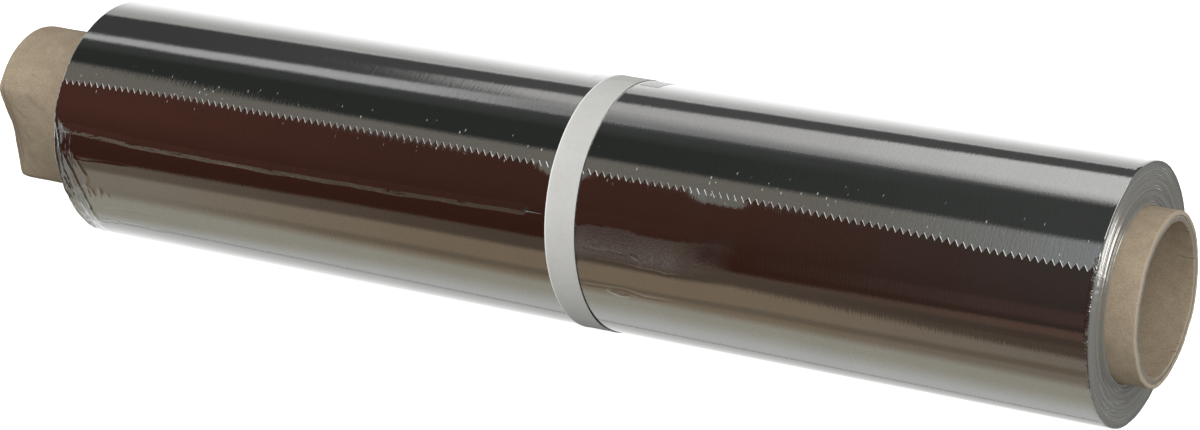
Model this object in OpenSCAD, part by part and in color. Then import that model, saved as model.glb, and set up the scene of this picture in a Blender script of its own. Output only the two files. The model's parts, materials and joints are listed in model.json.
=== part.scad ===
// Catering roll of aluminium foil, lying on its side.
// +X runs along the roll, +Z is up, and the roll rests on z = 0 under the middle of its length.
// Angles about the roll's axis are counted from +Y (the back) through +Z (the top) to the front.

/* [Core] */
// Bore of the cardboard core
core_bore = 38; // [30:0.5:50]
// Wall of the core
core_wall = 2.7; // [1.5:0.1:4]
// Core standing out of the foil at the left end
core_out_left = 28.5; // [26:0.5:60]
// Core standing out of the foil at the right end
core_out_right = 7.5; // [2:0.5:40]

/* [Crushed end of the core] */
// Depth of the dent at the left rim
dent_depth = 6.3; // [0.5:0.1:8]
// Direction that the dent faces
dent_dir = 195; // [185:1:215]
// Angle from the dent's middle to its folded sides
dent_half = 40; // [30:1:50]
// How far in from the rim the dent fades out
dent_reach = 25; // [10:0.5:26]
// Height of the bulge beside the dent
bulge_h = 0.8; // [0.1:0.1:1.5]
// Direction of the bulge's crest
bulge_dir = 125; // [100:1:140]

/* [Foil] */
// Width of the foil, which is the length of the winding
foil_w = 300; // [200:1:450]
// Thickness of the winding on the core
wound_t = 11.05; // [6:0.05:30]
// Width of the flat that the soft winding rests on
flat_w = 9; // [4:0.5:14]
// Spacing of the rings of turns on the end faces
ring_pitch = 1.6; // [1.1:0.1:2]
// Depth of the grooves between the rings
ring_depth = 0.35; // [0.1:0.05:0.8]

/* [Free edge of the foil] */
// Step at the free edge, where the last turn ends
edge_t = 0.35; // [0.1:0.05:0.6]
// Direction of the free edge from the axis
edge_dir = 149.5; // [120:0.5:170]
// Slope of the free edge along the roll
edge_skew = 0.7; // [0:0.1:1.5]
// Spacing of the torn teeth
tooth_pitch = 2.04; // [1.5:0.01:6]
// Height of the torn teeth
tooth_h = 1.4; // [0.5:0.1:3]

/* [Crumpled left edge of the foil] */
// Number of folds pressed into the edge
fold_n = 7; // [1:1:9]
// Depth of the folds
fold_depth = 0.7; // [0.2:0.1:1.2]
// Slant of the folds away from the edge
fold_slant = 24; // [5:1:45]

/* [Paper band] */
// Width of the band
band_w = 8.5; // [4:0.5:30]
// Thickness of the paper
band_t = 0.2; // [0.1:0.05:0.5]
// Middle of the band, from the middle of the foil
band_at = 9; // [-40:1:40]
// Lean of the band off square
band_tilt = 1.5; // [0:0.1:3]

/* [Closing tape] */
// How far the tape reaches past each edge of the band
tape_out = 5.75; // [3:0.25:15]
// Width of the tape round the roll
tape_w = 12; // [8:1:25]
// Thickness of the tape
tape_t = 0.1; // [0.05:0.01:0.3]
// Direction of the tape's front side
tape_dir = 89; // [80:1:110]

/* [Hidden] */
$fn = 96;

core_r = core_bore / 2 + core_wall;
foil_r = core_r + wound_t;
axis_h = sqrt(foil_r * foil_r - flat_w * flat_w / 4);
foil_x = (core_out_left - core_out_right) / 2;
far = 2 * foil_r;

// The dented end starts on this plane, counted from the middle of the foil.
dent_x = -foil_w / 2 - core_out_left + dent_reach;
dent_sides = 48;
dent_rings = 8;
bulge_half = 60;
// The flat-sided loft is this much thinner than the round wall on both faces, so it joins inside that wall.
loft_inset = 0.04;

// Land of smooth turns outside the last ring, and how far the ring crests lie behind the end face.
ring_land = 1.1;
ring_crest = 0.06;
// The ring cutter reaches this far into the core's hole and beyond the end face.
ring_spare = 1;
ring_n = floor((wound_t - ring_land) / ring_pitch);

tooth_n = round(foil_w / tooth_pitch);
tooth_w = foil_w / tooth_n;
// The free edge also wanders a little, in long waves.
edge_sway = 0.35;
edge_wave = 140;

// Direction of the first fold, and the turn from each fold to the next.
fold_from = 166;
fold_step = 13;
// The folds are deepest this far from the end face, and the second and third of each three further in.
fold_x = 2;
fold_stagger = 1.5;
fold_half_w = 1.5;

// Room between the round foil and the paper about it. At the flat the paper lies on the foil.
band_gap = 0.03;
band_outside = band_gap + band_t;

module on_axis() {
    translate([foil_x, 0, axis_h]) children();
}

module along_x(len) {
    rotate([90, 0, 90]) linear_extrude(height = len, center = true) children();
}

// Outline of the foil seen from its end, grown by the papers that lie on it. The last turn is the
// same circle moved outwards at the free edge, so it meets the turns below it a quarter turn on.
module foil_outline(grow = 0) {
    circle(r = foil_r + grow);
    last_turn_outline(grow);
}

module last_turn_outline(grow = 0) {
    translate(edge_t * [cos(edge_dir), sin(edge_dir)]) circle(r = foil_r + grow);
}

module above(level) {
    intersection() {
        children();
        translate([-far, level - axis_h]) square([2 * far, 2 * far]);
    }
}

// Core: a round tube, and its crushed left end as one lofted wall.
function dent_at(a) = dent_depth * max(0, 1 - pow((a - dent_dir) / dent_half, 2));
function bulge_at(a) = abs(a - bulge_dir) < bulge_half ? bulge_h * cos((a - bulge_dir) * 90 / bulge_half) : 0;
function fade(s) = 0.8 * pow(s, 1.4) + 0.2 * pow(s, 8);
function rim_r(a, s) = core_r + fade(s) * (bulge_at(a) - dent_at(a));
function ring_pos(j) = 1 - pow(1 - j / dent_rings, 1.5);
function side_dir(i) = dent_dir - 180 + i * 360 / dent_sides;

function outer_r(a, s) = rim_r(a, s) - loft_inset;
function inner_r(a, s) = (rim_r(a, s) - core_wall) / cos(180 / dent_sides) + loft_inset;

function wall_ring(s, outside) = [
    for (i = [0 : dent_sides - 1])
        let (a = side_dir(i), r = outside ? outer_r(a, s) : inner_r(a, s))
        [dent_x - s * dent_reach, r * cos(a), r * sin(a)]
];

// Two triangles between side i of ring p and side i of ring q, each counted by its first point.
function strip(p, q) = [
    for (i = [0 : dent_sides - 1])
        let (k = (i + 1) % dent_sides)
        each [[p + i, q + i, p + k], [p + k, q + i, q + k]]
];

module crushed_end() {
    n = dent_sides;
    inner = (dent_rings + 1) * n;
    points = [
        for (outside = [true, false])
            for (j = [0 : dent_rings])
                each wall_ring(ring_pos(j), outside)
    ];
    faces = [
        for (j = [0 : dent_rings - 1])
            each concat(strip((j + 1) * n, j * n), strip(inner + j * n, inner + (j + 1) * n)),
        each strip(0, inner),
        each strip(inner + dent_rings * n, dent_rings * n)
    ];
    polyhedron(points = points, faces = faces);
}

module round_core() {
    right = foil_w / 2 + core_out_right;
    translate([(dent_x + right) / 2, 0, 0]) along_x(right - dent_x) difference() {
        circle(r = core_r);
        circle(d = core_bore);
    }
}

module core_tube() {
    color("tan") on_axis() {
        round_core();
        crushed_end();
    }
}

// Foil: the wound turns, the last turn with its torn edge, and the rings of turns at both ends.
function edge_at(x) = x * tan(edge_skew) + edge_sway * sin(360 * x / edge_wave);

// Takes the last turn away above the torn edge, down to the round turns below it. The row of teeth
// runs past both end faces, which cut through a tooth's flank.
module torn_edge() {
    teeth = [
        for (i = [-1 : tooth_n])
            let (x = (i + 0.2) * tooth_w - foil_w / 2)
            each [
                [x, -edge_at(x)],
                [x + tooth_w / 2, tooth_h - edge_at(x + tooth_w / 2)]
            ]
    ];
    difference() {
        rotate([edge_dir - 90, 0, 0])
            linear_extrude(height = far)
                polygon(concat(teeth, [[foil_w / 2 + 2 * tooth_w, far], [-foil_w / 2 - 2 * tooth_w, far]]));
        along_x(foil_w + 8 * tooth_w) circle(r = foil_r);
    }
}

// Cuts one end face into rings. It faces +X on the plane x = 0.
module ring_cutter() {
    groove = [
        for (i = [0 : ring_n - 1])
            let (r = core_r + i * ring_pitch, d = ring_depth * (0.7 + 0.3 * sin(i * 130)))
            each [[r, -ring_crest], [r + ring_pitch / 2, -d]]
    ];
    outer = core_r + ring_n * ring_pitch;
    rotate([0, 90, 0]) rotate_extrude()
        polygon(concat(
            [[core_r - ring_spare, ring_spare], [core_r - ring_spare, -ring_crest]],
            groove,
            [[outer, -ring_crest], [outer + ring_crest, 0], [outer + ring_crest, ring_spare]]
        ));
}

// One pressed fold: a shallow groove whose straight bottom runs out of the round foil at both ends.
module fold(i) {
    depth = fold_depth * (0.75 + 0.25 * sin(i * 100));
    rotate([fold_from + i * fold_step, 0, 0])
        translate([-foil_w / 2 + fold_x + fold_stagger * (i % 3), foil_r - depth, 0])
            rotate([0, fold_slant + 4 * (i % 2), 0])
                linear_extrude(height = far, center = true)
                    polygon([[0, 0], [fold_half_w, 2 * fold_depth], [-fold_half_w, 2 * fold_depth]]);
}

module foil_winding() {
    color("silver") on_axis() difference() {
        along_x(foil_w) difference() {
            above(0) foil_outline();
            circle(r = core_r);
        }
        torn_edge();
        translate([foil_w / 2, 0, 0]) ring_cutter();
        translate([-foil_w / 2, 0, 0]) mirror([1, 0, 0]) ring_cutter();
        for (i = [0 : fold_n - 1]) fold(i);
        band_slab(band_w) translate([0, 0, band_t - axis_h - far / 2]) cube([far, 2 * far, far], center = true);
    }
}

// Keeps what lies between the band's two edges, which lean off square.
module band_slab(width) {
    translate([band_at, 0, 0]) intersection() {
        children();
        rotate([0, -band_tilt, 0]) cube([width, 2 * far, 2 * far], center = true);
    }
}

module paper_band() {
    color("whitesmoke") on_axis() band_slab(band_w) along_x(far) difference() {
        above(0) foil_outline(band_outside);
        above(band_t) foil_outline(band_gap);
    }
}

// The tape lies on the foil on both sides of the band and steps over it.
module closure_tape() {
    tape_l = band_w + 2 * tape_out;
    sweep = tape_w / foil_r * 180 / PI;
    color("lightcyan") on_axis() intersection() {
        difference() {
            union() {
                translate([band_at, 0, 0]) along_x(tape_l) circle(r = foil_r + tape_t);
                band_slab(band_w + 2 * tape_t) along_x(far) foil_outline(band_outside + tape_t);
            }
            along_x(foil_w) circle(r = foil_r);
            band_slab(band_w) along_x(far) foil_outline(band_outside);
        }
        along_x(foil_w) polygon([
            [0, 0],
            far * [cos(tape_dir), sin(tape_dir)],
            far * [cos(tape_dir - sweep), sin(tape_dir - sweep)]
        ]);
    }
}

core_tube();
foil_winding();
paper_band();
closure_tape();
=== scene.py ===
# %% [markdown]
# A catering roll of aluminium foil, lying on its side on a pale table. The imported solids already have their
# real sizes and places, so this lesson only dresses them: bright rolled foil with a torn edge, a dull edge of
# wound turns, grey-brown board, matt paper and a scrap of clear tape. The solids come first, because every
# new piece takes its place from them.
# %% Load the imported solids
import json
import math
import random

import bmesh
import bpy
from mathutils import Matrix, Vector, noise


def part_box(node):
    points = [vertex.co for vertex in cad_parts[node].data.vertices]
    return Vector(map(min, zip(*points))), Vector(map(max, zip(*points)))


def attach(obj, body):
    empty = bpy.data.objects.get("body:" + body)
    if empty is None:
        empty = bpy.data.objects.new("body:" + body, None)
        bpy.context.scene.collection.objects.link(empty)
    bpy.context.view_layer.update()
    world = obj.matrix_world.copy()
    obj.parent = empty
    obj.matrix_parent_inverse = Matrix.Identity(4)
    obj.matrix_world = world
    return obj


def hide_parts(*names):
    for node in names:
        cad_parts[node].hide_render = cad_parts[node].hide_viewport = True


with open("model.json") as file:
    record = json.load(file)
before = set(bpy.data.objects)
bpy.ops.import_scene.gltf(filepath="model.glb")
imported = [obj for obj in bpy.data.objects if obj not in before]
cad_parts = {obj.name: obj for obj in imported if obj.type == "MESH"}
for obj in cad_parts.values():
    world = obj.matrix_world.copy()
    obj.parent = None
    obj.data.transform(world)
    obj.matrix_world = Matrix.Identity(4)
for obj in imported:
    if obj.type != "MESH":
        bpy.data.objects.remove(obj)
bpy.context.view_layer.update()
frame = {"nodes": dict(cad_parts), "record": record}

print("solids:", sorted(frame["nodes"]))

# %% [markdown]
# All lengths below are in metres, as the solids are. Writing them as so many millimetres keeps them readable.
# The foil's and the core's radii come from the solids' own boxes, and the axis and the bore's radius from the
# core_bore mount in model.json. At the back of the roll, on the +Y side, nothing stands proud of the round
# foil, so the box's back face gives the foil's radius. The core's comes in the same way.
# %% Measure the solids
MM = 0.001
foil_low, foil_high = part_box("foil_winding")
core_low, core_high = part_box("core_tube")
band_low, band_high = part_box("paper_band")
tape_low, tape_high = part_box("closure_tape")
bore = {m["name"]: m for m in frame["record"]["mounts"]}["core_bore"]

AXIS_Z = bore["pos_m"][2]
FOIL_R = foil_high.y
CORE_R = core_high.y
BORE_R = bore["dims"]["r_mm"] * MM
FOIL_X = (foil_low.x + foil_high.x) / 2
FOIL_HALF = (foil_high.x - foil_low.x) / 2
BAND_X = (band_low.x + band_high.x) / 2
BAND_W = 8.5 * MM
BAND_T = 0.2 * MM
BAND_TILT = math.radians(1.5)
print("foil radius", round(FOIL_R / MM, 2), "mm, foil width", round(2 * FOIL_HALF / MM, 1), "mm")

# %% [markdown]
# The camera comes next, so that every later choice can be judged in its view. It looks down on the roll a
# little, from the right-hand end, with a long lens, which is why the far end is hardly smaller.
# %% Place the camera
def new_object(name, data):
    made = bpy.data.objects.new(name, data)
    bpy.context.scene.collection.objects.link(made)
    return made


def aim_camera(place, turn, lens):
    """A camera that stands still: no shift and no depth of field."""
    data = bpy.data.cameras.new("camera")
    data.sensor_width = 36
    data.sensor_fit = "HORIZONTAL"
    data.lens = lens
    data.clip_start = 0.01
    camera = new_object("camera", data)
    camera.location = place
    camera.rotation_euler = [math.radians(angle) for angle in turn]
    bpy.context.scene.camera = camera


aim_camera(place=(0.42275, -0.73131, 0.30984), turn=(71.44, 0, 29.28), lens=102.05)
bpy.context.scene.view_settings.view_transform = "Standard"
print("camera in place")

# %% [markdown]
# A finish is a network of shader nodes. Written one node at a time it's long and hard to follow, so a
# small class wraps a socket, and sums on wrapped sockets add the Math nodes. Then a mask can be written as
# `1 - edge * 0.5`, as on paper.
# %% Write shader maths as sums
def connect(tree, target, value):
    """Feeds a socket from a wire, or sets the value on it."""
    if isinstance(value, Wire):
        tree.links.new(value.socket, target)
    else:
        target.default_value = value


def math_node(tree, operation, *values):
    node = tree.nodes.new("ShaderNodeMath")
    node.operation = operation
    for target, value in zip(node.inputs, values):
        connect(tree, target, value)
    return Wire(tree, node.outputs[0])


class Wire:
    """An output socket. Each operator on it adds one Math node."""

    def __init__(self, tree, socket):
        self.tree, self.socket = tree, socket

    def math(self, operation, *others):
        """A Math node whose first value is this wire."""
        return math_node(self.tree, operation, self, *others)

    def also(self, name):
        """Another output of the same node."""
        return Wire(self.tree, self.socket.node.outputs[name])

    def __add__(self, other):
        return self.math("ADD", other)

    def __radd__(self, other):
        return self.math("ADD", other)

    def __sub__(self, other):
        return self.math("SUBTRACT", other)

    def __rsub__(self, other):
        return math_node(self.tree, "SUBTRACT", other, self)

    def __mul__(self, other):
        return self.math("MULTIPLY", other)

    def __rmul__(self, other):
        return self.math("MULTIPLY", other)


# %% [markdown]
# Every other node comes from one method. It takes the node's type, its settings and what its sockets hold.
# The settings go first, because some of them change which sockets a node has.
# %% Add any other node
class Finish:
    """A node tree that is being filled: a material's, or the world's."""

    def __init__(self, owner):
        owner.use_nodes = True
        self.owner, self.tree = owner, owner.node_tree
        self.tree.nodes.clear()

    def add(self, kind, settings=None, out=0, **sockets):
        node = self.tree.nodes.new("ShaderNode" + kind)
        for name, value in (settings or {}).items():
            if name == "stops":
                self.set_stops(node.color_ramp.elements, value)
            else:
                setattr(node, name, value)
        for name, value in sockets.items():
            connect(self.tree, self.find(node, name), value)
        return Wire(self.tree, node.outputs[out]) if node.outputs else None

    @staticmethod
    def find(node, name):
        """A socket by its name, where an underscore stands for a space, or by its number, as in s0."""
        if name[0] == "s" and name[1:].isdigit():
            return node.inputs[int(name[1:])]
        return node.inputs[name.replace("_", " ")]

    @staticmethod
    def set_stops(elements, stops):
        while len(elements) < len(stops):
            elements.new(1.0)
        for element, (place, colour) in zip(elements, stops):
            element.position, element.color = place, colour

    def mix(self, below, above, mask):
        """One colour over another where the mask is 1."""
        return self.add("Mix", {"data_type": "RGBA"}, out=2, s0=mask, s6=below, s7=above)

    def step(self, value, start, end):
        """0 below start and 1 above end, with a soft rise between."""
        return self.add("MapRange", {"interpolation_type": "SMOOTHSTEP"}, s0=value, s1=start, s2=end)

    def stripe(self, value, start, end, soft):
        """1 between start and end, and soft at both edges."""
        return self.step(value, start - soft, start + soft) * (1 - self.step(value, end - soft, end + soft))

    def stored(self, name):
        """A number that the mesh holds at each vertex."""
        return self.add("Attribute", {"attribute_name": name}, out="Fac")

    def raised(self, height):
        """The normal of a surface with this height in metres."""
        return self.add("Bump", Strength=1.0, Distance=1.0, Height=height)

    def surface(self, **sockets):
        shader = self.add("BsdfPrincipled", **sockets)
        self.add("OutputMaterial", Surface=shader)
        return self.owner


def grey(value):
    return (value, value, value, 1)


print("shader helpers ready")

# %% [markdown]
# Polished metal shows nothing but its surroundings, so the studio matters more than the metal's own
# colour. Around a lying cylinder one angle says nearly everything: the direction of the reflected ray about
# the roll's axis, counted from the back of the table over the top, and on under the front. White paper
# stands behind and below, a long soft box hangs overhead, and the camera's side of the room is dark and warm.
# Real lamps stand at a finite distance, so their edges drift along the roll, and the ray's own X carries
# that drift. Where the bands lie and how bright they are was measured in the photo, and then tuned against
# it.
# Matt surfaces don't need this detail. They get plain light, brighter from above, from the front and from the
# right.
# %% Paint the studio that the metal reflects
# A ray's X stays as it is when the round foil mirrors it. This is the X of a ray from the camera to the
# roll's middle, and how much it changes out to either end.
VIEW_X = -0.464
VIEW_SPREAD = 0.15
WHITE_PAPER = grey(1.12)


def towards(azimuth, height):
    """A unit direction from two angles in degrees: round from +X, and above the horizon."""
    azimuth, height = math.radians(azimuth), math.radians(height)
    return (math.cos(height) * math.cos(azimuth), math.cos(height) * math.sin(azimuth), math.sin(height))


def spot(f, ray, direction, full, none):
    """1 within so many degrees of a direction, fading to 0."""
    near = f.add("VectorMath", {"operation": "DOT_PRODUCT"}, out="Value", s0=ray, s1=direction)
    return f.step(near, math.cos(math.radians(none)), math.cos(math.radians(full)))


def paint_back(f, light, turn, drift):
    """White paper behind, which darkens upwards, then the soft box, the dark ceiling and a pale strip."""
    right, left = f.step(drift, 0.0, 1.0), f.step(drift, 0.1, -0.9)
    light = f.mix(light, (0.36, 0.355, 0.34, 1), f.step(turn + right * 8, -2, 44))
    gap = f.mix((0.066, 0.068, 0.066, 1), grey(0.046), left)
    paper_top = turn + drift * 8.5
    light = f.mix(light, grey(0.46), f.stripe(paper_top, 36.6, 42, 0.8) * f.step(drift, -0.75, -0.4))
    light = f.mix(light, gap, f.step(paper_top, 39.0, 40.2))
    tube = f.stripe(turn, 71 - 8.5 * drift, 84 - 2.5 * drift, 1.0)
    light = f.mix(light, f.mix(grey(0.19), grey(0.38), f.step(drift, -0.1, -0.4)), tube)
    box = f.step(turn + drift * 10.5, 55.2, 57.6) * (1 - f.step(turn - 9 * drift, 65, 81))
    box_light = f.mix((0.40, 0.39, 0.38, 1), (0.56, 0.55, 0.54, 1), right)
    light = f.mix(light, box_light, box * f.step(drift, -0.42, -0.12))
    light = f.mix(light, (0.043, 0.045, 0.043, 1), f.step(turn, 84, 89))
    ceiling = f.mix((0.024, 0.026, 0.024, 1), (0.045, 0.047, 0.045, 1), right)
    light = f.mix(light, ceiling, f.step(turn, 89, 100))
    strip = f.mix((0.142, 0.131, 0.114, 1), (0.24, 0.255, 0.26, 1), f.step(drift, 0.4, 1.1))
    return f.mix(light, strip, f.step(turn + f.step(drift, -0.55, -0.85) * 8, 119.8, 125))


def paint_front(f, light, turn, drift):
    """The dark warm room round the camera, then the table from its near edge to the roll's foot."""
    right, left = f.step(drift, 0.2, 0.9), f.step(drift, -0.2, -0.9)
    room = f.mix((0.047, 0.0185, 0.013, 1), (0.064, 0.025, 0.018, 1), left)
    room = f.mix(room, (0.040, 0.031, 0.027, 1), right)
    light = f.mix(light, room, f.step(turn - 5.5 * drift, 144.0, 145.4))
    light = f.mix(light, f.mix((0.031, 0.011, 0.007, 1), (0.034, 0.022, 0.018, 1), right),
                  f.step(turn, 150, 200) * 0.8)
    ledge = f.mix((0.072, 0.052, 0.039, 1), (0.115, 0.090, 0.070, 1), left)
    light = f.mix(light, (0.060, 0.036, 0.030, 1), f.stripe(turn, 184, 195, 2.5) * right * 0.8)
    light = f.mix(light, ledge, f.step(turn + 3 * right - 5 * left, 201.5, 204.5))
    light = f.mix(light, (0.092, 0.052, 0.040, 1), f.stripe(turn, 200.5, 206, 1.5) * right)
    light = f.mix(light, (0.056, 0.038, 0.030, 1), f.stripe(turn, 207.5, 214, 1.5) * right)
    near_edge = f.mix((0.180, 0.135, 0.092, 1), (0.20, 0.175, 0.14, 1), left)
    near_edge = f.mix(near_edge, (0.168, 0.140, 0.112, 1), right)
    light = f.mix(light, near_edge, f.step(turn - 8 * right - 3 * left, 213.5, 219))
    light = f.mix(light, (0.125, 0.100, 0.072, 1), f.stripe(turn, 235, 242, 2.5) * (1 - left))
    light = f.mix(light, (0.28, 0.265, 0.22, 1), f.step(turn - 4 * drift, 243, 255))
    light = f.mix(light, (0.43, 0.43, 0.42, 1), f.step(turn - 8 * right, 256 + left * 14, 291))
    light = f.mix(light, WHITE_PAPER, f.step(turn - 10 * drift, 292, 350))
    return f.mix(light, grey(0.26), f.stripe(turn - 13 * drift, 294, 296.6, 0.7))


def paint_sides(f, light, ray, x, y, z):
    """The room beyond both ends of the roll, which only folds, teeth and the roll's end reflect."""
    side = f.mix((0.24, 0.24, 0.235, 1), grey(0.045), f.step(y, 0.1, -0.3))
    light = f.mix(light, side, f.step(x, 0.02, 0.14))
    end_of_box = f.step(x, 0.22, 0.40) * (1 - f.step(x, 0.55, 0.67)) * f.step(z, 0.66, 0.82)
    light = f.mix(light, grey(1.4), end_of_box)
    light = f.mix(light, grey(5.0), spot(f, ray, towards(21, 6), 8, 16))
    light = f.mix(light, grey(1.6), spot(f, ray, towards(-38, 34), 8, 16))
    light = f.mix(light, grey(0.2), f.step(x, -0.66, -0.76) * f.step(y, 0.4, 0.2))
    return f.mix(light, grey(0.9), f.step(x, -0.93, -0.97))


def paint_studio():
    world = bpy.data.worlds.new("studio")
    bpy.context.scene.world = world
    f = Finish(world)
    ray = f.add("TexCoord", out="Generated")
    x = f.add("SeparateXYZ", s0=ray)
    y, z = x.also("Y"), x.also("Z")
    angle = z.math("ARCTAN2", y) * (180 / math.pi)
    turn = (angle + 20).math("FLOORED_MODULO", 360.0) - 20
    drift = ((x - VIEW_X) * (1 / VIEW_SPREAD)).math("MAXIMUM", -1.2).math("MINIMUM", 1.2)

    light = paint_front(f, paint_back(f, WHITE_PAPER, turn, drift), turn, drift)
    light = paint_sides(f, light, ray, x, y, z)
    lamps = spot(f, ray, towards(-38, 38), 12, 48) * 0.9 + spot(f, ray, towards(-85, 20), 20, 75) * 0.12
    level = z * 0.40 - y * 0.44 + x * 0.34 + 0.28 + lamps
    plain = f.add("CombineXYZ", s0=level, s1=level, s2=level * 0.985)
    plain = f.add("VectorMath", {"operation": "MAXIMUM"}, s0=plain, s1=(0.04, 0.04, 0.04))
    path = f.add("LightPath", out="Is Glossy Ray")
    backdrop = f.mix(plain, grey(1.0), path.also("Is Camera Ray"))
    f.add("OutputWorld", Surface=f.add("Background", Color=f.mix(backdrop, light, path)))


paint_studio()
print("studio painted")

# %% [markdown]
# The table is one pale plane. It glows a little, so that it stays white as a sweep of studio paper does,
# and the roll leaves only a faint contact shadow. The metal sees the painted studio in its place.
# %% Lay the table
def lay_table():
    bm = bmesh.new()
    bmesh.ops.create_grid(bm, x_segments=1, y_segments=1, size=4)
    mesh = bpy.data.meshes.new("table")
    bm.to_mesh(mesh)
    bm.free()
    table = new_object("table", mesh)
    f = Finish(bpy.data.materials.new("table_paper"))
    mesh.materials.append(f.surface(Base_Color=grey(0.85), Roughness=0.9, Emission_Color=grey(1.0),
                                    Emission_Strength=0.9, Specular_IOR_Level=0.0))
    table.visible_glossy = False
    table.visible_diffuse = False


lay_table()
print("table laid")

# %% [markdown]
# Most pieces here are skins wrapped round the roll's axis. Each starts as a flat grid from bmesh, and a
# formula then puts every vertex in its place, so the grid's own rows and columns carry the creases. Angles
# are in degrees about the axis, from the back over the top to the front.
# %% Wrap grids round the axis
def on_roll(x, angle, radius, floor=0.0):
    """A point at x along the roll, at an angle and radius about its axis, pressed flat by the table."""
    turn = math.radians(angle)
    return Vector((x, radius * math.cos(turn), max(floor, AXIS_Z + radius * math.sin(turn))))


def lean(angle):
    """How far the band stands towards the right at an angle, because it was put on askew."""
    return -FOIL_R * math.sin(math.radians(angle)) * math.tan(BAND_TILT)


def wrap_grid(bm, columns, rows, place):
    """Adds a grid with a vertex at each column and row, and returns the vertices by column and row."""
    made = bmesh.ops.create_grid(bm, x_segments=len(columns) - 1, y_segments=len(rows) - 1, size=1)
    cells = {}
    for vertex in made["verts"]:
        i = round((vertex.co.x + 1) / 2 * (len(columns) - 1))
        j = round((vertex.co.y + 1) / 2 * (len(rows) - 1))
        cells[i, j] = vertex
    for (i, j), vertex in cells.items():
        vertex.co = place(columns[i], rows[j])
    return cells


def weld(bm):
    """Joins the vertices that share a place, where a grid meets itself."""
    same_place = 0.00001 * MM
    bmesh.ops.remove_doubles(bm, verts=bm.verts, dist=same_place)


def finish_piece(name, bm, node, materials, sharp=35, flat=None):
    """Turns a closed bmesh into a piece that stands for its node.

    Edges sharper than so many degrees show. Faces with the material number flat aren't smoothed.
    """
    bmesh.ops.recalc_face_normals(bm, faces=bm.faces)
    open_edges = sum(1 for e in bm.edges if not e.is_manifold)
    for face in bm.faces:
        face.smooth = face.material_index != flat
    mesh = bpy.data.meshes.new(name)
    bm.to_mesh(mesh)
    bm.free()
    mesh.set_sharp_from_angle(angle=math.radians(sharp))
    for material in materials:
        mesh.materials.append(material)
    piece = new_object(name, mesh)
    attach(piece, "root")
    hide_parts(node)
    print(name, len(mesh.polygons), "faces,", open_edges, "open edges")


def steps(start, end, size):
    """Even places from start up to, but not with, end, about size apart."""
    count = max(1, round((end - start) / size))
    return [start + (end - start) * k / count for k in range(count)]


# Every second degree, all the way round.
TURNS = steps(0, 360, 2) + [360]


def round_strip(places):
    """Round the section of a thin strip, as (place across it, 1 above and 0 below), back to its start."""
    return [(k, 1.0) for k in places] + [(k, 0.0) for k in reversed(places)] + [(places[0], 1.0)]


def along(points, x):
    """Follows a line through (x, value) points, with rounded turns."""
    if x <= points[0][0]:
        return points[0][1]
    for (x0, v0), (x1, v1) in zip(points, points[1:]):
        if x <= x1:
            t = (x - x0) / (x1 - x0)
            return v0 + (v1 - v0) * t * t * (3 - 2 * t)
    return points[-1][1]


def bump(distance, half_width):
    """A smooth hump: 1 in the middle, and 0 from half_width on."""
    t = distance / half_width
    return (1 - t * t) ** 2 if abs(t) < 1 else 0.0


print("grid helpers ready")

# %% [markdown]
# The sheet's free edge was torn off on a toothed blade. It lies along the front of the roll, a little
# askew, and its teeth point up. The last turn stands a third of a millimetre proud there and sinks into the
# round turns further down. Two columns of the grid make each tooth: one for its tip and one for its root.
# Where the band or a hand has pressed the edge down, the last turn lies flat.
# %% Describe the torn edge
TOOTH_COUNT = 147
TOOTH_W = 2 * FOIL_HALF / TOOTH_COUNT
TOOTH_H = 1.4 * MM
EDGE_STEP = 0.36 * MM
# The edge's line as measured in the photo: (mm from the middle of the foil, degrees).
EDGE_LINE = [(-150, 149.0), (-138, 148.3), (-107, 147.3), (-86, 148.0), (-46, 147.9), (-26, 148.3),
             (-7, 149.1), (39, 149.4), (65, 149.9), (91, 150.9), (108, 151.8), (121, 153.3), (150, 153.7)]
# Middle and half width of the pressed places, in mm.
PRESSED = [(9, 10.5), (53, 11)]
# One degree round the foil, and round the core.
DEGREE = math.radians(1) * FOIL_R
CORE_DEGREE = math.radians(1) * CORE_R


def edge_angle(x):
    return along(EDGE_LINE, (x - FOIL_X) / MM)


def tooth(x):
    """0 at the root of a tooth and 1 at its tip."""
    phase = (x - foil_low.x) / TOOTH_W % 1
    return 1 - abs(2 * phase - 1)


def lift(x, below):
    """How far the last turn stands out, by the degrees below its teeth. Pressed flat, only its teeth curl."""
    near = (x - FOIL_X) / MM
    pressed = sum(min(1.0, 1.5 * bump(near - middle, half_width)) for middle, half_width in PRESSED)
    curl = 0.30 * math.exp(-below / 5.2) * (1 - pressed) + 0.09 * math.exp(-below / 1.4) * pressed
    return (0.06 * math.cos(math.radians(min(below, 90))) + curl) * MM


print("teeth", TOOTH_COUNT, "each", round(TOOTH_W / MM, 2), "mm wide")
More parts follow.
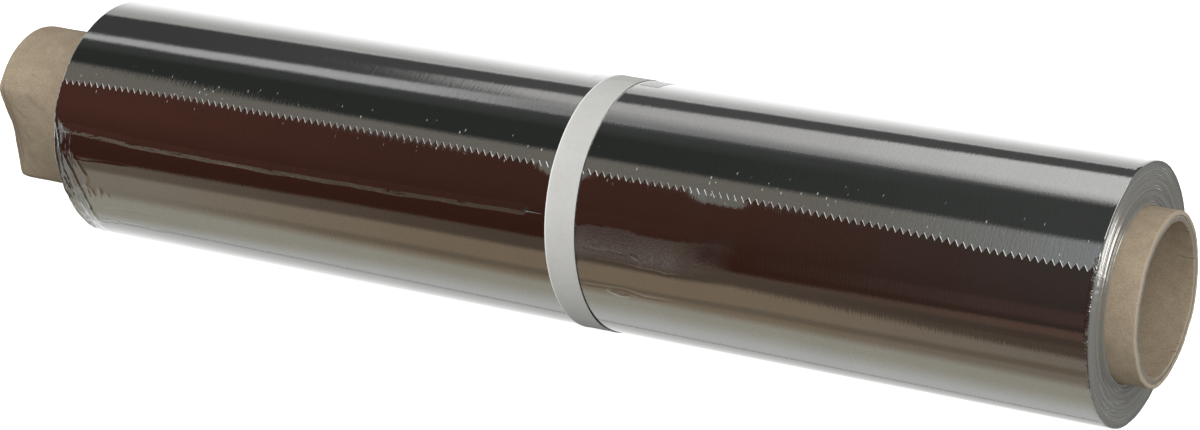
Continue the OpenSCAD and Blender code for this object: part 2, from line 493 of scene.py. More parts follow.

# %% [markdown]
# Creases are lines on the unrolled sheet, as points of (distance along the roll in mm, angle in degrees). The
# points were picked in the photo, and the fitted camera turned them into these measures. Each line
# has a half width and a height in mm: one flank of a crease tilts by many degrees, and in bright metal that
# is what shows, as a pale line in a dark reflection. A ridge is even on both sides, and with a height below
# zero it's a groove. A ledge rises slowly and then ramps down, so it shows as a pale strip with one crisp
# side. At the left rim the edge was knocked about, and its folds run round the roll, close to the rim.
# %% Draw the creases
RIDGES = [
    (0.45, 0.22, [(-150.2, 156), (-150.1, 163), (-149.8, 168)]),
    (0.50, 0.26, [(-149.5, 167.7), (-148.3, 177.1), (-147.7, 184.8), (-147.8, 190.8), (-146.7, 196.9),
                  (-146.6, 207.4)]),
    (0.60, 0.28, [(-146.8, 183.1), (-144.4, 191.4), (-142.8, 202.4), (-142.3, 212.7), (-142.5, 225)]),
    (0.50, 0.24, [(-149.8, 172), (-149.6, 190), (-149.7, 215), (-150.0, 245)]),
    (0.40, 0.30, [(-148.3, 194.9), (-147.8, 200.6), (-146.4, 206.9)]),
    (0.40, 0.25, [(-149.0, 206.4), (-149.0, 211.3), (-149.3, 216.9)]),
    (0.40, 0.28, [(-142.5, 211.8), (-142.7, 218.5), (-143.1, 225.4)]),
    (0.50, 0.26, [(-147.4, 223.5), (-148.3, 230.3), (-149.8, 239.6)]),
    (0.45, 0.20, [(-147.4, 168.5), (-146.3, 171), (-144.4, 170.4)]),
    (0.50, 0.16, [(-142.8, 184.2), (-140.6, 191.8), (-140.6, 198.2), (-141.4, 209.3)]),
    (0.45, 0.14, [(-140.4, 190.2), (-139.7, 193.9), (-142.1, 198.7)]),
    (0.45, 0.16, [(-139.8, 198.0), (-139.0, 202.8), (-140.3, 207.9)]),
    (0.45, 0.16, [(-136.5, 196.9), (-136.5, 201.1), (-138.1, 206.1)]),
    (0.40, 0.10, [(-134.4, 200.4), (-134.3, 203.4)]),
    (0.40, -0.11, [(-138.2, 212.1), (-133.7, 209.8), (-128.3, 209.1), (-118.0, 209.6)]),
    (0.40, -0.12, [(-141.6, 223.8), (-135.1, 221.6), (-131.5, 221.1), (-120.0, 221.8)]),
    (0.35, 0.03, [(-145.6, 183.5), (-140.9, 184.7), (-138.9, 184.6), (-134.1, 183.9), (-124.5, 183.4)]),
    (0.35, -0.04, [(14.0, 180.6), (20.5, 182.1), (22.7, 180.9), (24.8, 181.4), (27.3, 181.2)]),
    (0.35, 0.06, [(29.1, 181.0), (30.8, 182.5), (33.0, 179.3)]),
    (0.35, 0.06, [(29.4, 181.5), (32.2, 183.5)]),
    (0.35, 0.06, [(33.0, 181.6), (31.1, 185.6)]),
    (0.35, -0.025, [(14.0, 185.4), (21.9, 186.1), (26.5, 185.9), (31.5, 186.7), (35.7, 186.6), (38.8, 187.4),
                    (44.8, 185.8), (51.4, 186.1)]),
    (0.50, -0.02, [(33.5, 194.8), (37.0, 194.2), (48.2, 194.2), (62.0, 194.6)]),
    (0.45, -0.035, [(14.0, 200.2), (19.5, 199.8), (26.7, 199.2), (31.8, 201.2), (40.0, 200.9)]),
    (0.40, 0.14, [(22.1, 201.6), (23.9, 202.1), (25.5, 203.2), (27.4, 202.1)]),
    (0.30, 0.10, [(21.4, 200.6), (24.5, 203.6)]),
]
LEDGE = [(-147.0, 170.6), (-143.2, 170.1), (-139.8, 170.3), (-134.2, 170.7), (-128.6, 171.1),
         (-122.7, 171.6), (-88, 172.0), (-39, 171.1), (-2, 169.8)]
# The finish needs the distance from the ledge only so many mm to each side.
LEDGE_REACH = 3.0
# Where the left rim begins to fall away, as (degrees, mm along the roll).
RIM_FOLD = [(164, -149), (170.5, -146), (182, -147), (194.6, -144.9), (209, -143.2), (216, -142.8),
            (227, -143.7), (245, -147)]
# Upper side of the shallow dent beside the band, how far down it reaches and then fades out in degrees, and
# in mm where it starts and ends along the roll, how high its upper lip stands and how deep it is.
DENT_LINE = [(13.5, 171.5), (18.9, 170.3), (28, 170.1), (32.2, 171.3), (39.3, 171.2), (56, 169.2)]
DENT_DEGREES = 11
DENT_FADE = 16
DENT_START, DENT_END = 12, 58
DENT_LIP = 0.32
DENT_DEEP = 0.20
print("creases", len(RIDGES) + 1)

# %% [markdown]
# A drawn line becomes a height through its distance: each vertex near a crease is raised by a smooth hump
# across the line, which fades towards both ends of it. The pressed places are heights too, but they follow
# one side of a line only. The ledge is too fine for the grid, so only the distance from it is worked out.
# %% Turn drawn lines into heights
def line_at(points, x, s, degree):
    """Signed distance from (x, s) to a drawn line, and how far along it that is. All in mm."""
    nearest, share, count = 1e9, 0.0, len(points) - 1
    for k, ((x0, a0), (x1, a1)) in enumerate(zip(points, points[1:])):
        s0, s1 = a0 * degree, a1 * degree
        dx, ds = x1 - x0, s1 - s0
        t = max(0.0, min(1.0, ((x - x0) * dx + (s - s0) * ds) / (dx * dx + ds * ds)))
        away = math.hypot(x - x0 - t * dx, s - s0 - t * ds)
        if away < abs(nearest):
            nearest, share = math.copysign(away, s - s0 - t * ds), (k + t) / count
    return nearest, share


def relief(lines, x, angle, degree):
    """Sum of the heights in mm of some drawn lines at a place. One degree is so many mm round."""
    s, total = angle * degree, 0.0
    for width, height, points in lines:
        if not min(p[0] for p in points) - width < x < max(p[0] for p in points) + width:
            continue
        if not min(p[1] for p in points) - 4 < angle < max(p[1] for p in points) + 4:
            continue
        away, share = line_at(points, x, s, degree)
        total += height * bump(away, width) * min(1.0, 8 * share + 0.2, 8 * (1 - share) + 0.1)
    return total


def from_ledge(x, angle):
    """Signed distance in mm from the ledge, for the finish to shape."""
    if not 160 < angle < 182:
        return LEDGE_REACH if 182 <= angle < 300 else -LEDGE_REACH
    away = line_at(LEDGE, x, angle * DEGREE / MM, DEGREE / MM)[0]
    return max(-LEDGE_REACH, min(LEDGE_REACH, away))


def rim_slope(x, angle):
    """How far the crumpled left rim has been knocked down, in mm."""
    beyond = along(RIM_FOLD, angle) - x if 164 < angle < 245 else 0.0
    return 0.12 * max(0.0, beyond) * bump(angle - 204, 44) ** 0.25


def shallow_dent(x, angle):
    """Height and dullness of the place where a hand has pressed the foil beside the band."""
    share = min(1.0, max(0.0, (x - DENT_START) / 2)) * min(1.0, max(0.0, (DENT_END - x) / 12))
    t = angle - along(DENT_LINE, x)
    if share == 0 or not -6 < t < DENT_DEGREES + DENT_FADE:
        return 0.0, 0.0
    if t < 0:
        return DENT_LIP * share * (1 + t / 6), 0.0
    if t < DENT_DEGREES:
        return share * ((DENT_LIP + DENT_DEEP) * (1 - t / DENT_DEGREES) ** 2 - DENT_DEEP), share
    further = t - DENT_DEGREES
    return -DENT_DEEP * share * (1 - further / DENT_FADE), max(0.0, share - further / 5)


print("height of the first crease", round(relief(RIDGES, -150.1, 163, DEGREE / MM), 2), "mm")

# %% [markdown]
# The winding is one closed skin: a grid wrapped once round, from the torn edge down the front, under the
# roll, up the back and over the top to the torn edge again. Its rows are close where creases lie and wide
# where the foil is plain. Besides the creases it has a gentle unevenness, and its rims are a little ragged.
# %% Shape the sheet
RIM_BEVEL = 0.16 * MM
# The skin lies this far inside the solid's round outline, and the step at the torn edge leans by this much.
SUNK = 0.06 * MM
STEP_LEAN = 0.14 * MM
# The zigzag of the teeth fades out over so many degrees to each side of the torn edge.
TOOTH_FADE = 5


def foil_columns():
    """Places along the roll: a tip and a root for each tooth, and more where the foil is creased."""
    places = []
    for k in range(TOOTH_COUNT):
        x = foil_low.x + k * TOOTH_W
        near = (x - FOIL_X) / MM
        parts = 8 if near < -142 else 4 if near < -130 or 10 < near < 48 else 2
        places += steps(x, x + TOOTH_W, TOOTH_W / parts)
    return places[:1] + [foil_low.x + RIM_BEVEL] + places[1:] + [foil_high.x - RIM_BEVEL, foil_high.x]


def foil_rows():
    """Degrees below the torn edge, all the way round."""
    rows = steps(0, 7, 0.5) + steps(7, 16, 0.9) + steps(16, 66, 0.55) + steps(66, 104, 1.0)
    return rows + steps(104, 340, 5.5) + steps(340, 360, 2) + [360]


def slow_wave(x, angle):
    """The gentle unevenness of a hand-wound roll, and the fine strands of the crumpled rim on the left."""
    turn = math.radians(angle)
    wave = 0.02 * MM * noise.noise(Vector((x, FOIL_R * math.cos(turn), FOIL_R * math.sin(turn))) * 60)
    facing, from_rim = angle % 360, (x - foil_low.x) / MM
    crumpled = min(1.0, max(0.0, 2.5 - from_rim / 2)) * bump(facing - 207, 44)
    if crumpled > 0:
        strand = from_rim - 0.05 * (facing - 170)
        creases = abs(noise.noise(Vector((strand * 1.2, facing * 0.05, 3))))
        creases += 0.5 * abs(noise.noise(Vector((strand * 2.6, facing * 0.09, 9))))
        wave -= 0.3 * MM * crumpled * creases
    return wave


def rim_wear(x, angle):
    """How far the rims are worn in, more in some places than in others."""
    if foil_low.x < x < foil_high.x:
        return 0.0
    turn = math.radians(angle)
    around = Vector((x * 9, math.cos(turn), math.sin(turn)))
    return (0.11 + 0.14 * noise.noise(around * 24) + 0.08 * noise.noise(around * 70)) * MM


def foil_place(x, below):
    """Angle on the roll, and height above the round foil, of a place on the sheet."""
    from_edge = min(below, 360 - below)
    angle = edge_angle(x) + below - tooth(x) * TOOTH_H / DEGREE * max(0.0, 1 - from_edge / TOOTH_FADE)
    if below > 359.9:
        return angle - STEP_LEAN / DEGREE, -SUNK
    near, facing = (x - FOIL_X) / MM, angle % 360
    drawn = relief(RIDGES, near, facing, DEGREE / MM)
    from_teeth = angle - edge_angle(x) + TOOTH_H / DEGREE
    shape = drawn + shallow_dent(near, facing)[0] - rim_slope(near, facing)
    return angle, shape * MM - SUNK + lift(x, from_teeth) + slow_wave(x, angle)


def foil_point(x, below):
    angle, height = foil_place(x, below)
    banded = abs(x - BAND_X - lean(angle)) < BAND_W / 2
    return on_roll(x, angle, FOIL_R + height - rim_wear(x, angle), floor=BAND_T if banded else 0.0)


print("grid for the sheet:", len(foil_columns()), "by", len(foil_rows()), "vertices")

# %% [markdown]
# The step between the last turn and the one below closes the sheet round the roll. Both ends are then drawn
# in towards the core, ring by ring, as the turns lie there. Every other ring is a groove, and the faces
# between stay flat-shaded, so that each leans its own way and the light breaks up into a fan.
# %% Draw in the ends
END_RINGS = 34
# How deep the crests and the grooves between them lie behind the end face, in mm from and to.
CREST_DEPTHS = (0.0, 0.03)
GROOVE_DEPTHS = (0.08, 0.20)


def draw_in(bm, rim, end_x, inward):
    """Extrudes one rim of the skin towards the core, ring by ring, and returns the innermost ring's edges."""
    chance = random.Random(11)
    start = {v: v.co.copy() for e in rim for v in e.verts}
    for ring in range(1, END_RINGS + 1):
        depth = chance.uniform(*(CREST_DEPTHS if ring % 2 else GROOVE_DEPTHS))
        made = bmesh.ops.extrude_edge_only(bm, edges=rim)["geom"]
        moved = {}
        for vertex in (g for g in made if isinstance(g, bmesh.types.BMVert)):
            source = min((o for o in (e.other_vert(vertex) for e in vertex.link_edges) if o in start),
                         key=lambda o: (o.co - vertex.co).length)
            first = start[source]
            angle = math.atan2(first.z - AXIS_Z, first.y)
            core = Vector((end_x, CORE_R * math.cos(angle), AXIS_Z + CORE_R * math.sin(angle)))
            moved[vertex] = first
            vertex.co = first.lerp(core, ring / END_RINGS)
            vertex.co.x = end_x + inward * depth * MM
        start = moved
        rim = [g for g in made if isinstance(g, bmesh.types.BMEdge) and all(v in moved for v in g.verts)]
        for face in (g for g in made if isinstance(g, bmesh.types.BMFace)):
            face.material_index = 1
    return rim


def wind_foil(materials):
    bm = bmesh.new()
    dull, ledge = [bm.verts.layers.float.new(name) for name in ("dull", "ledge")]
    columns, rows = foil_columns(), foil_rows()
    cells = wrap_grid(bm, columns, rows, foil_point)
    for (i, j), vertex in cells.items():
        near, facing = (columns[i] - FOIL_X) / MM, foil_place(columns[i], rows[j])[0] % 360
        vertex[dull], vertex[ledge] = shallow_dent(near, facing)[1], from_ledge(near, facing)
    last_row, last_column = len(rows) - 1, len(columns) - 1
    border = [e for e in bm.edges if e.is_boundary]
    row_of = {v: j for (i, j), v in cells.items()}
    torn = [e for e in border if all(row_of[v] == 0 for v in e.verts)]
    below = [e for e in border if all(row_of[v] == last_row for v in e.verts)]
    bmesh.ops.bridge_loops(bm, edges=torn + below)
    rims = []
    for column, end_x, inward in ((0, foil_low.x, 1), (last_column, foil_high.x, -1)):
        ends = {cells[column, j] for j in range(len(rows))}
        rim = [e for e in bm.edges if e.is_boundary and all(v in ends for v in e.verts)]
        rims += draw_in(bm, rim, end_x, inward)
    bmesh.ops.bridge_loops(bm, edges=rims)
    finish_piece("foil_roll", bm, "foil_winding", materials, flat=1)


print("rings on each end", END_RINGS)

# %% [markdown]
# Rolled foil is a mirror with a grain. The mill leaves hair-fine lines along the sheet, which run round the
# roll, and each tilts the surface sideways by a degree or two. So the pattern is noise squeezed along X and
# drawn out in the other two directions, and it goes to Bump, with its height in metres. Small pale
# scratches lie above the torn edge, where the sheet has rubbed, and the pressed place beside the band is
# duller. The crease along the front rises slowly and then falls within a millimetre or so: each point's
# distance from it is stored on the mesh, and the shader turns that distance into height.
# %% Make the bright foil
def centred(f, scale):
    """Object coordinates about the middle of the roll, scaled by direction."""
    place = f.add("TexCoord", out="Object")
    moved = f.add("VectorMath", {"operation": "SUBTRACT"}, s0=place, s1=(FOIL_X, 0, AXIS_Z))
    return f.add("VectorMath", {"operation": "MULTIPLY"}, s0=moved, s1=scale)


def from_middle(f):
    """A place on the roll from the middle of its axis: the wire of X, with Y and Z beside it."""
    return f.add("SeparateXYZ", s0=centred(f, (1, 1, 1)))


def from_axis(f):
    """Distance from the roll's axis."""
    place = from_middle(f)
    y, z = place.also("Y"), place.also("Z")
    return (y * y + z * z).math("SQRT")


def bearing(f):
    """Degrees about the axis, from the back over the top to the front, and on to 360."""
    place = from_middle(f)
    angle = place.also("Z").math("ARCTAN2", place.also("Y")) * (180 / math.pi)
    return angle.math("FLOORED_MODULO", 360.0)


def speckle(f, scale, detail, **more):
    """Noise that is fixed to the roll, with its own scale along X, Y and Z."""
    return f.add("TexNoise", Vector=centred(f, scale), Scale=1.0, Detail=detail, **more)


def scratches(f, spacing, size):
    """Small pale scratches in the stretch above the torn edge, where the sheet has rubbed."""
    cell = f.add("TexVoronoi", Vector=centred(f, (1 / spacing, 0.4 / spacing, 0.4 / spacing)), Scale=1.0)
    chosen = f.add("SeparateXYZ", s0=cell.also("Color"))
    drawn = f.step(cell, size / spacing, 0.3 * size / spacing) * f.step(chosen, 0.2, 0.8)
    return drawn * f.stripe(bearing(f), 136, 151, 3)


def ledge_height(f):
    """A slow rise, and then a ramp down over a millimetre or so, from the distance stored on the mesh."""
    rough = speckle(f, (300, 600, 600), 2.0)
    slow = speckle(f, (60, 0, 0), 1.0)
    away = f.stored("ledge") + (rough - 0.5) * 0.4
    rise = f.add("MapRange", s0=away, s1=-1.8, s2=0.0)
    fall = f.add("MapRange", s0=away, s1=0.0, s2=0.5 + slow * 1.3, s3=1.0, s4=0.0)
    left_half = 1 - f.step(from_middle(f), -4 * MM, 5 * MM)
    return rise * fall * left_half * 0.24 * MM


def rim_crumple(f):
    """Sharp strands along the knocked left rim, and a ragged bit of the right one."""
    x, angle = from_middle(f), bearing(f)
    strands = speckle(f, (430, 130, 130), 1.0, Distortion=0.4)
    ragged = speckle(f, (420, 700, 700), 2.0, Distortion=0.6)
    left = f.step(x, -141 * MM, -147.5 * MM) * f.stripe(angle, 172, 262, 10)
    right = f.step(x, 148.8 * MM, 149.8 * MM) * f.stripe(angle, 146, 186, 4)
    folds = (strands - 0.5).math("ABSOLUTE") * left * 0.9 + (ragged - 0.5).math("ABSOLUTE") * right * 0.7
    return folds * MM


def bright_foil():
    f = Finish(bpy.data.materials.new("bright_foil"))
    lines = speckle(f, (2400, 60, 60), 1.0)
    short = speckle(f, (2400, 600, 600), 2.0)
    grain = speckle(f, (2600, 2600, 2600), 1.0)
    broad = speckle(f, (70, 40, 40), 2.0)
    dull = f.stored("dull") * f.step(broad, 0.2, 0.5)
    down = f.step(from_middle(f).also("Z"), 5 * MM, -3.5 * MM)
    rolled = (lines * 0.006 + short * 0.008 + grain * 0.005 + (grain + short) * dull * 0.022) * MM
    shades = [(0.3, (0.86, 0.87, 0.865, 1)), (0.7, (0.90, 0.91, 0.905, 1))]
    tone = f.add("ValToRGB", {"stops": shades}, Fac=broad)
    tone = f.mix(tone, (0.76, 0.77, 0.765, 1), f.step(grain, 0.35, 0.7) * 0.5)
    mark = scratches(f, 1.3 * MM, 0.22 * MM) * 0.55
    matt = mark + dull * (0.012 + down * 0.02 + f.step(grain, 0.35, 0.65) * (0.3 + down) * 0.065)
    return f.surface(Base_Color=tone, Metallic=1 - matt, Roughness=0.05 + dull * 0.13 + mark * 0.3,
                     Normal=f.raised(rolled + ledge_height(f) + rim_crumple(f)))


def wound_edges():
    """The cut edges of the turns: fine rings round the axis, each tilted in or out."""
    f = Finish(bpy.data.materials.new("wound_edges"))
    radius = from_axis(f)
    fine = f.add("TexNoise", {"noise_dimensions": "1D"}, W=radius * 1600, Scale=1.0, Detail=1.0)
    broad = f.add("TexNoise", {"noise_dimensions": "1D"}, W=radius * 700, Scale=1.0, Detail=2.0)
    grain = speckle(f, (900, 900, 900), 2.0)
    shades = [(0.35, (0.31, 0.305, 0.285, 1)), (0.65, (0.42, 0.415, 0.39, 1))]
    tone = f.add("ValToRGB", {"stops": shades}, Fac=broad)
    return f.surface(Base_Color=tone, Metallic=0.55, Roughness=0.14,
                     Normal=f.raised((fine * 0.15 + grain * 0.01) * MM))


wind_foil([bright_foil(), wound_edges()])

# %% [markdown]
# The core is a wound board tube. Its skin is a grid too, closed both ways: round the axis, and along a
# section that runs out along the outside, round the worn right rim, back through the bore and round the left
# rim. The left end was crushed, with a broad dent low on the front and a bulge beside it, and the board
# creased twice along the dented rim. The right rim has only been knocked a little flat low at the back.
# %% Shape the core
DENT_X = bore["pos_m"][0] - bore["dims"]["length_mm"] / 2 * MM
DENT_REACH = DENT_X - core_low.x
DENT_DEPTH = 6.3 * MM
DENT_ANGLE = 195
DENT_HALF = 40
BULGE = 0.8 * MM
BULGE_ANGLE = 125
BULGE_HALF = 60
RIM_ROUND = 0.45 * MM
# Creases of the crushed end, as (mm in from the rim, degrees), and how far in from the rim they may lie.
CREASED = 20 * MM
BOARD_CREASES = [
    (0.50, -0.16, [(1.2, 148), (1.5, 165), (1.7, 195), (1.4, 222), (0.9, 236)]),
    (0.55, -0.14, [(2.4, 160), (3.0, 178), (3.3, 200), (2.6, 226)]),
    (0.60, -0.10, [(5.0, 168), (7.5, 174), (10.5, 176)]),
    (0.60, 0.08, [(4.0, 182), (7.0, 188), (9.0, 196)]),
    (0.70, -0.08, [(9.0, 156), (13.0, 163), (17.0, 166)]),
]


def turned(angle, middle):
    """How far an angle lies from a middle, in degrees."""
    return (angle - middle + 180) % 360 - 180


def crush(x, angle):
    """How far the crushed end moves the wall outwards."""
    s = (DENT_X - x) / DENT_REACH
    if s <= 0:
        return 0.0
    dent = max(0.0, 1 - (turned(angle, DENT_ANGLE) / DENT_HALF) ** 2) * DENT_DEPTH
    away = turned(angle, BULGE_ANGLE)
    bulge = BULGE * math.cos(math.radians(away * 90 / BULGE_HALF)) if abs(away) < BULGE_HALF else 0.0
    return (0.8 * s ** 1.4 + 0.2 * s ** 8) * (bulge - dent)


def knock(x, angle):
    """How far the right rim has been knocked inwards."""
    s = max(0.0, (x - foil_high.x) / (core_high.x - foil_high.x))
    return s ** 1.5 * (0.9 * bump(turned(angle, -60), 48) + 0.3 * bump(turned(angle, 5), 70)) * MM


def core_section():
    """Round the wall as (x, how deep in the wall from 0 to 1), from the left rim's outside."""
    wall = CORE_R - BORE_R
    left, right, turn = core_low.x, core_high.x, RIM_ROUND
    outside = [(x, 0.0) for x in steps(left + turn, left + 12 * MM, 0.4 * MM)]
    outside += [(x, 0.0) for x in steps(left + 12 * MM, foil_low.x + 2 * MM, 0.9 * MM)]
    outside += [(x, 0.0) for x in steps(foil_low.x + 2 * MM, foil_high.x - 2 * MM, 30 * MM)]
    outside += [(x, 0.0) for x in steps(foil_high.x - 2 * MM, right - turn, 0.5 * MM)]
    inside = [(x, 1.0) for x in steps(right - turn, right - 14 * MM, -0.8 * MM)]
    inside += [(x, 1.0) for x in steps(right - 14 * MM, left + turn, -4 * MM)]
    return outside + rim_section(right, 1, wall) + inside[1:] + rim_section(left, -1, wall)[::-1]


def rim_section(x, sign, wall):
    """From the outside round a rounded rim to the inside. Past the middle the wall is mirrored."""
    quarter = [k * math.pi / 2 / 6 for k in range(7)]
    out = [(x - sign * RIM_ROUND * (1 - math.sin(a)), RIM_ROUND / wall * (1 - math.cos(a))) for a in quarter]
    flat = [(x, 0.30), (x, 0.40), (x - sign * 0.35 * MM, 0.45), (x - sign * 0.12 * MM, 0.51), (x, 0.62)]
    return out + flat + [(px, 1 - depth) for px, depth in reversed(out)]


def core_point(place, angle):
    x, depth = place
    turn = math.radians(angle)
    around = Vector((0, math.cos(turn), math.sin(turn)))
    rough = noise.noise(around * 6 + Vector((x * 300, 0, 0)))
    radius = CORE_R - depth * (CORE_R - BORE_R) + crush(x, angle) - knock(x, angle)
    radius -= (0.05 + 0.05 * rough) * MM
    from_left, from_right = (x - core_low.x) / MM, (core_high.x - x) / MM
    if from_left < CREASED / MM:
        radius += relief(BOARD_CREASES, from_left, angle, CORE_DEGREE / MM) * MM
    # The cut rims are worn back a little here and there, and their inner ply frays into the bore.
    wear = 0.5 + noise.noise(around * 3.5 + Vector((5, 0, 0))) + 0.5 * noise.noise(around * 19)
    x += (0.15 * wear * math.exp(-from_left) - 0.15 * wear * math.exp(-from_right)) * MM
    if depth > 0.5:
        wrinkle = 0.14 * noise.noise(around * 15) + 0.12 * abs(noise.noise(around * 34))
        radius -= wrinkle * math.exp(-from_right / 2.5) * MM
    return Vector((x, radius * around.y, AXIS_Z + radius * around.z))


print("points round the core's wall", len(core_section()))

# %% [markdown]
# Board is dull, with fine fibres and dark specks. Worn rims are paler, and the plies show greyer in the cut
# edge.
# The creases are darkened with painted shade. Those follow the shape, so how worn or creased each place is
# gets stored on the mesh as it is made, and the finish reads it. The slits in the bore at the right rim are
# noise drawn out along X, and they get painted shade as well.
# %% Roll the core
def rim_slits(f):
    """Short slits in the bore at the right rim, where the paper has cracked along the roll."""
    end = core_high.x - FOIL_X
    long = speckle(f, (90, 1100, 1100), 1.0)
    patchy = speckle(f, (0, 90, 90), 0.0)
    inside = f.step(from_axis(f), BORE_R + 0.5 * MM, BORE_R + 0.2 * MM)
    near_rim = f.step(from_middle(f) + patchy * 2 * MM, end - 4 * MM, end - 2 * MM)
    return f.step(long, 0.60, 0.68) * inside * near_rim * f.step(patchy, 0.35, 0.55)


def kraft_board():
    """Grey-brown board: fine fibres, paler and greyer where the rims are worn, and painted shade in its
    creases.
    """
    f = Finish(bpy.data.materials.new("kraft_board"))
    cloud = speckle(f, (260, 260, 260), 4.0)
    fibre = speckle(f, (2600, 3000, 3000), 2.0)
    specks = f.step(speckle(f, (2000, 2000, 2000), 1.0), 0.68, 0.76)
    grain = f.step(cloud * 0.35 + fibre * 0.65, 0.36, 0.64)
    tone = f.mix((0.35, 0.28, 0.20, 1), (0.46, 0.37, 0.267, 1), grain)
    tone = f.mix(tone, (0.21, 0.16, 0.11, 1), specks * 0.55)
    tone = f.mix(tone, (0.50, 0.44, 0.36, 1), f.step(f.stored("worn") + fibre * 0.8, 1.0, 1.3) * 0.75)
    tone = f.mix(tone, (0.25, 0.235, 0.215, 1), f.step(f.stored("ply") + cloud * 0.6, 0.75, 1.0) * 0.85)
    # Painted shade: the creases are darkened in the colour.
    tone = f.mix(tone, (0.20, 0.155, 0.11, 1), f.stored("creased") * 0.6)
    slits = rim_slits(f)
    # Painted shade: the slits are darkened in the colour, as well as sunk.
    tone = f.mix(tone, (0.22, 0.17, 0.12, 1), slits * 0.6)
    return f.surface(Base_Color=tone, Roughness=0.85, Specular_IOR_Level=0.3,
                     Normal=f.raised((fibre * 0.03 - slits * 0.12) * MM))


def roll_core():
    bm = bmesh.new()
    worn, ply, creased = [bm.verts.layers.float.new(name) for name in ("worn", "ply", "creased")]
    section = core_section()
    section.append(section[0])
    cells = wrap_grid(bm, section, TURNS, core_point)
    for (i, j), vertex in cells.items():
        x, depth = section[i]
        from_rim = min(core_high.x - x, x - core_low.x) / MM
        vertex[worn] = math.exp(-from_rim / 0.5) if depth < 0.6 else 0.5 * math.exp(-from_rim)
        vertex[ply] = bump(depth - 0.72, 0.36) * math.exp(-from_rim / 1.2) if depth < 1 else 0.0
        # How creased each place is, which the finish turns into painted shade.
        if depth == 0 and x < core_low.x + CREASED:
            drawn = relief(BOARD_CREASES, (x - core_low.x) / MM, TURNS[j], CORE_DEGREE / MM)
            vertex[creased] = min(1.0, abs(drawn) * 8)
    weld(bm)
    finish_piece("board_core", bm, "core_tube", [kraft_board()], sharp=60)


roll_core()

# %% [markdown]
# A strip of matt paper holds the foil shut. It is a thin closed skin as well, wrapped on the foil's own
# outline, and it leans a little off square. Its edges lift by less than a tenth of a millimetre. The left
# edge is paler, as a painted highlight, and the right-hand cut edge is dark at the front, as painted shade of
# the gap beneath it.
# %% Wrap the paper band
# The band's edges lift over the top and down the front, up to this angle.
LIFT_END = 262


def band_height(x, angle):
    """How far the foil under the band stands out, smoothed as stiff paper smooths it."""
    below = (angle - edge_angle(BAND_X)) % 360
    if below > 350:
        return EDGE_STEP * 0.3 * bump(360 - below, 10)
    return EDGE_STEP * (0.3 * bump(below, 10) + 0.2 * math.cos(math.radians(min(below, 90))))


def band_point(place, angle):
    across, out = place
    x = BAND_X + across * BAND_W / 2 + lean(angle)
    lifted = (0.05 - 0.03 * across) * MM * abs(across) ** 9 if angle % 360 < LIFT_END else 0.0
    height = band_height(x, angle) + 0.03 * MM + lifted + out * (BAND_T - 0.02 * MM)
    return on_roll(x, angle, FOIL_R + height, floor=(1 - out) * 0.8 * BAND_T)


def matt_paper():
    f = Finish(bpy.data.materials.new("matt_paper"))
    fibre = speckle(f, (900, 900, 900), 5.0)
    cloud = speckle(f, (120, 120, 120), 2.0)
    grain = f.step(fibre * 0.5 + cloud * 0.5, 0.3, 0.7)
    tone = f.mix((0.635, 0.63, 0.61, 1), (0.685, 0.68, 0.66, 1), grain)
    # Painted highlight: the band's left edge is paler.
    tone = f.mix(tone, grey(0.93), f.stored("fold"))
    return f.surface(Base_Color=tone, Roughness=0.8, Specular_IOR_Level=0.25,
                     Normal=f.raised(fibre * 0.01 * MM))


def shaded_edge():
    """The band's right-hand cut edge: painted shade at the front, for the gap beneath it, pale elsewhere."""
    f = Finish(bpy.data.materials.new("shaded_edge"))
    fibre = speckle(f, (300, 900, 900), 3.0)
    # Painted shade: the dark front of the cut edge stands for the gap beneath it.
    tone = f.mix((0.03, 0.034, 0.05, 1), (0.09, 0.095, 0.12, 1), f.step(fibre, 0.4, 0.6))
    tone = f.mix((0.8, 0.8, 0.78, 1), tone, f.stripe(bearing(f), 134, 236, 8))
    return f.surface(Base_Color=tone, Roughness=0.9, Specular_IOR_Level=0.1)


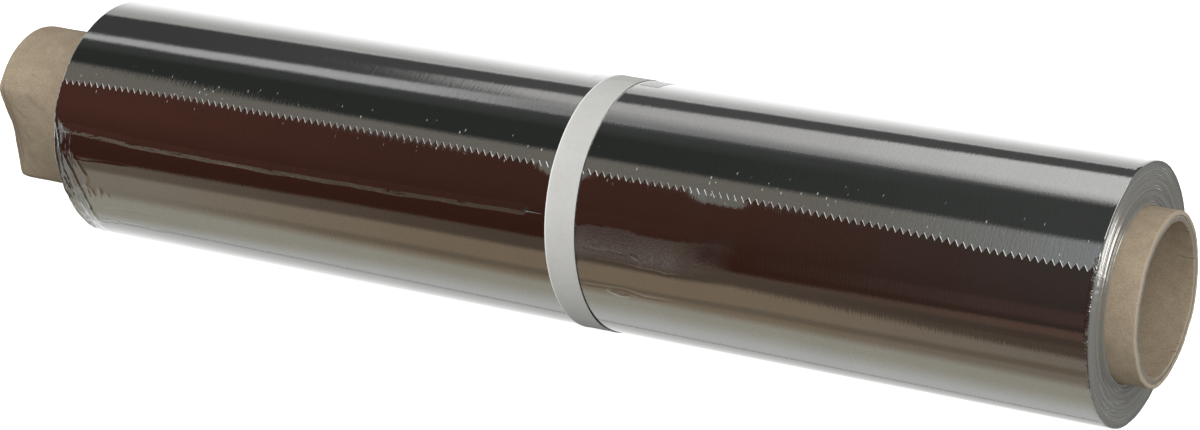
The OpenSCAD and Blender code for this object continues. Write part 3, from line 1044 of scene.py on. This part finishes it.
def wrap_band():
    bm = bmesh.new()
    fold = bm.verts.layers.float.new("fold")
    across = [-1, -0.97, -0.9, -0.8, -0.4, 0, 0.4, 0.8, 0.9, 0.97, 1]
    section = round_strip(across)
    cells = wrap_grid(bm, section, TURNS, band_point)
    for (i, j), vertex in cells.items():
        # The left edge gets the painted highlight.
        vertex[fold] = 1.0 if section[i][0] <= across[1] else 0.0
    # The right-hand cut edge gets the finish with painted shade.
    right_edge = {cells[i, j] for i, j in cells if i in (len(across) - 1, len(across))}
    for face in bm.faces:
        if all(vertex in right_edge for vertex in face.verts):
            face.material_index = 1
    weld(bm)
    finish_piece("band_strip", bm, "paper_band", [matt_paper(), shaded_edge()], sharp=50)


wrap_band()

# %% [markdown]
# The closing tape is a film a tenth of a millimetre thick. Only its gloss and its cut edge show, so it's
# modelled as a closed skin that steps over the band, with a finish that lets nearly all light through.
# %% Stick down the closing tape
def clear_film():
    f = Finish(bpy.data.materials.new("clear_film"))
    ripple = speckle(f, (200, 400, 400), 2.0)
    band = BAND_X - FOIL_X
    free_end = f.step(from_middle(f), band + 3.5 * MM, band + 5 * MM)
    return f.surface(Base_Color=(0.86, 0.87, 0.86, 1), Roughness=0.12 + ripple * 0.1,
                     Alpha=0.05 + free_end * 0.4, Normal=f.raised(ripple * 0.02 * MM))


def tape_point(place, angle):
    x, out = place
    over = 1 - max(0.0, min(1.0, (abs(x - BAND_X - lean(angle)) - BAND_W / 2) / (0.6 * MM)))
    radius = FOIL_R + 0.01 * MM + over * (BAND_T + 0.06 * MM) + out * 0.07 * MM
    return on_roll(x, angle, radius)


def stick_tape():
    bm = bmesh.new()
    first = math.degrees(math.asin((tape_low.z - AXIS_Z) / FOIL_R))
    last = math.degrees(math.acos(tape_low.y / FOIL_R))
    along_x = steps(tape_low.x, tape_high.x, 0.4 * MM) + [tape_high.x]
    wrap_grid(bm, round_strip(along_x), steps(first, last, 1.5) + [last], tape_point)
    weld(bm)
    bmesh.ops.holes_fill(bm, edges=[e for e in bm.edges if e.is_boundary], sides=0)
    finish_piece("tape_film", bm, "closure_tape", [clear_film()], sharp=60)


stick_tape()
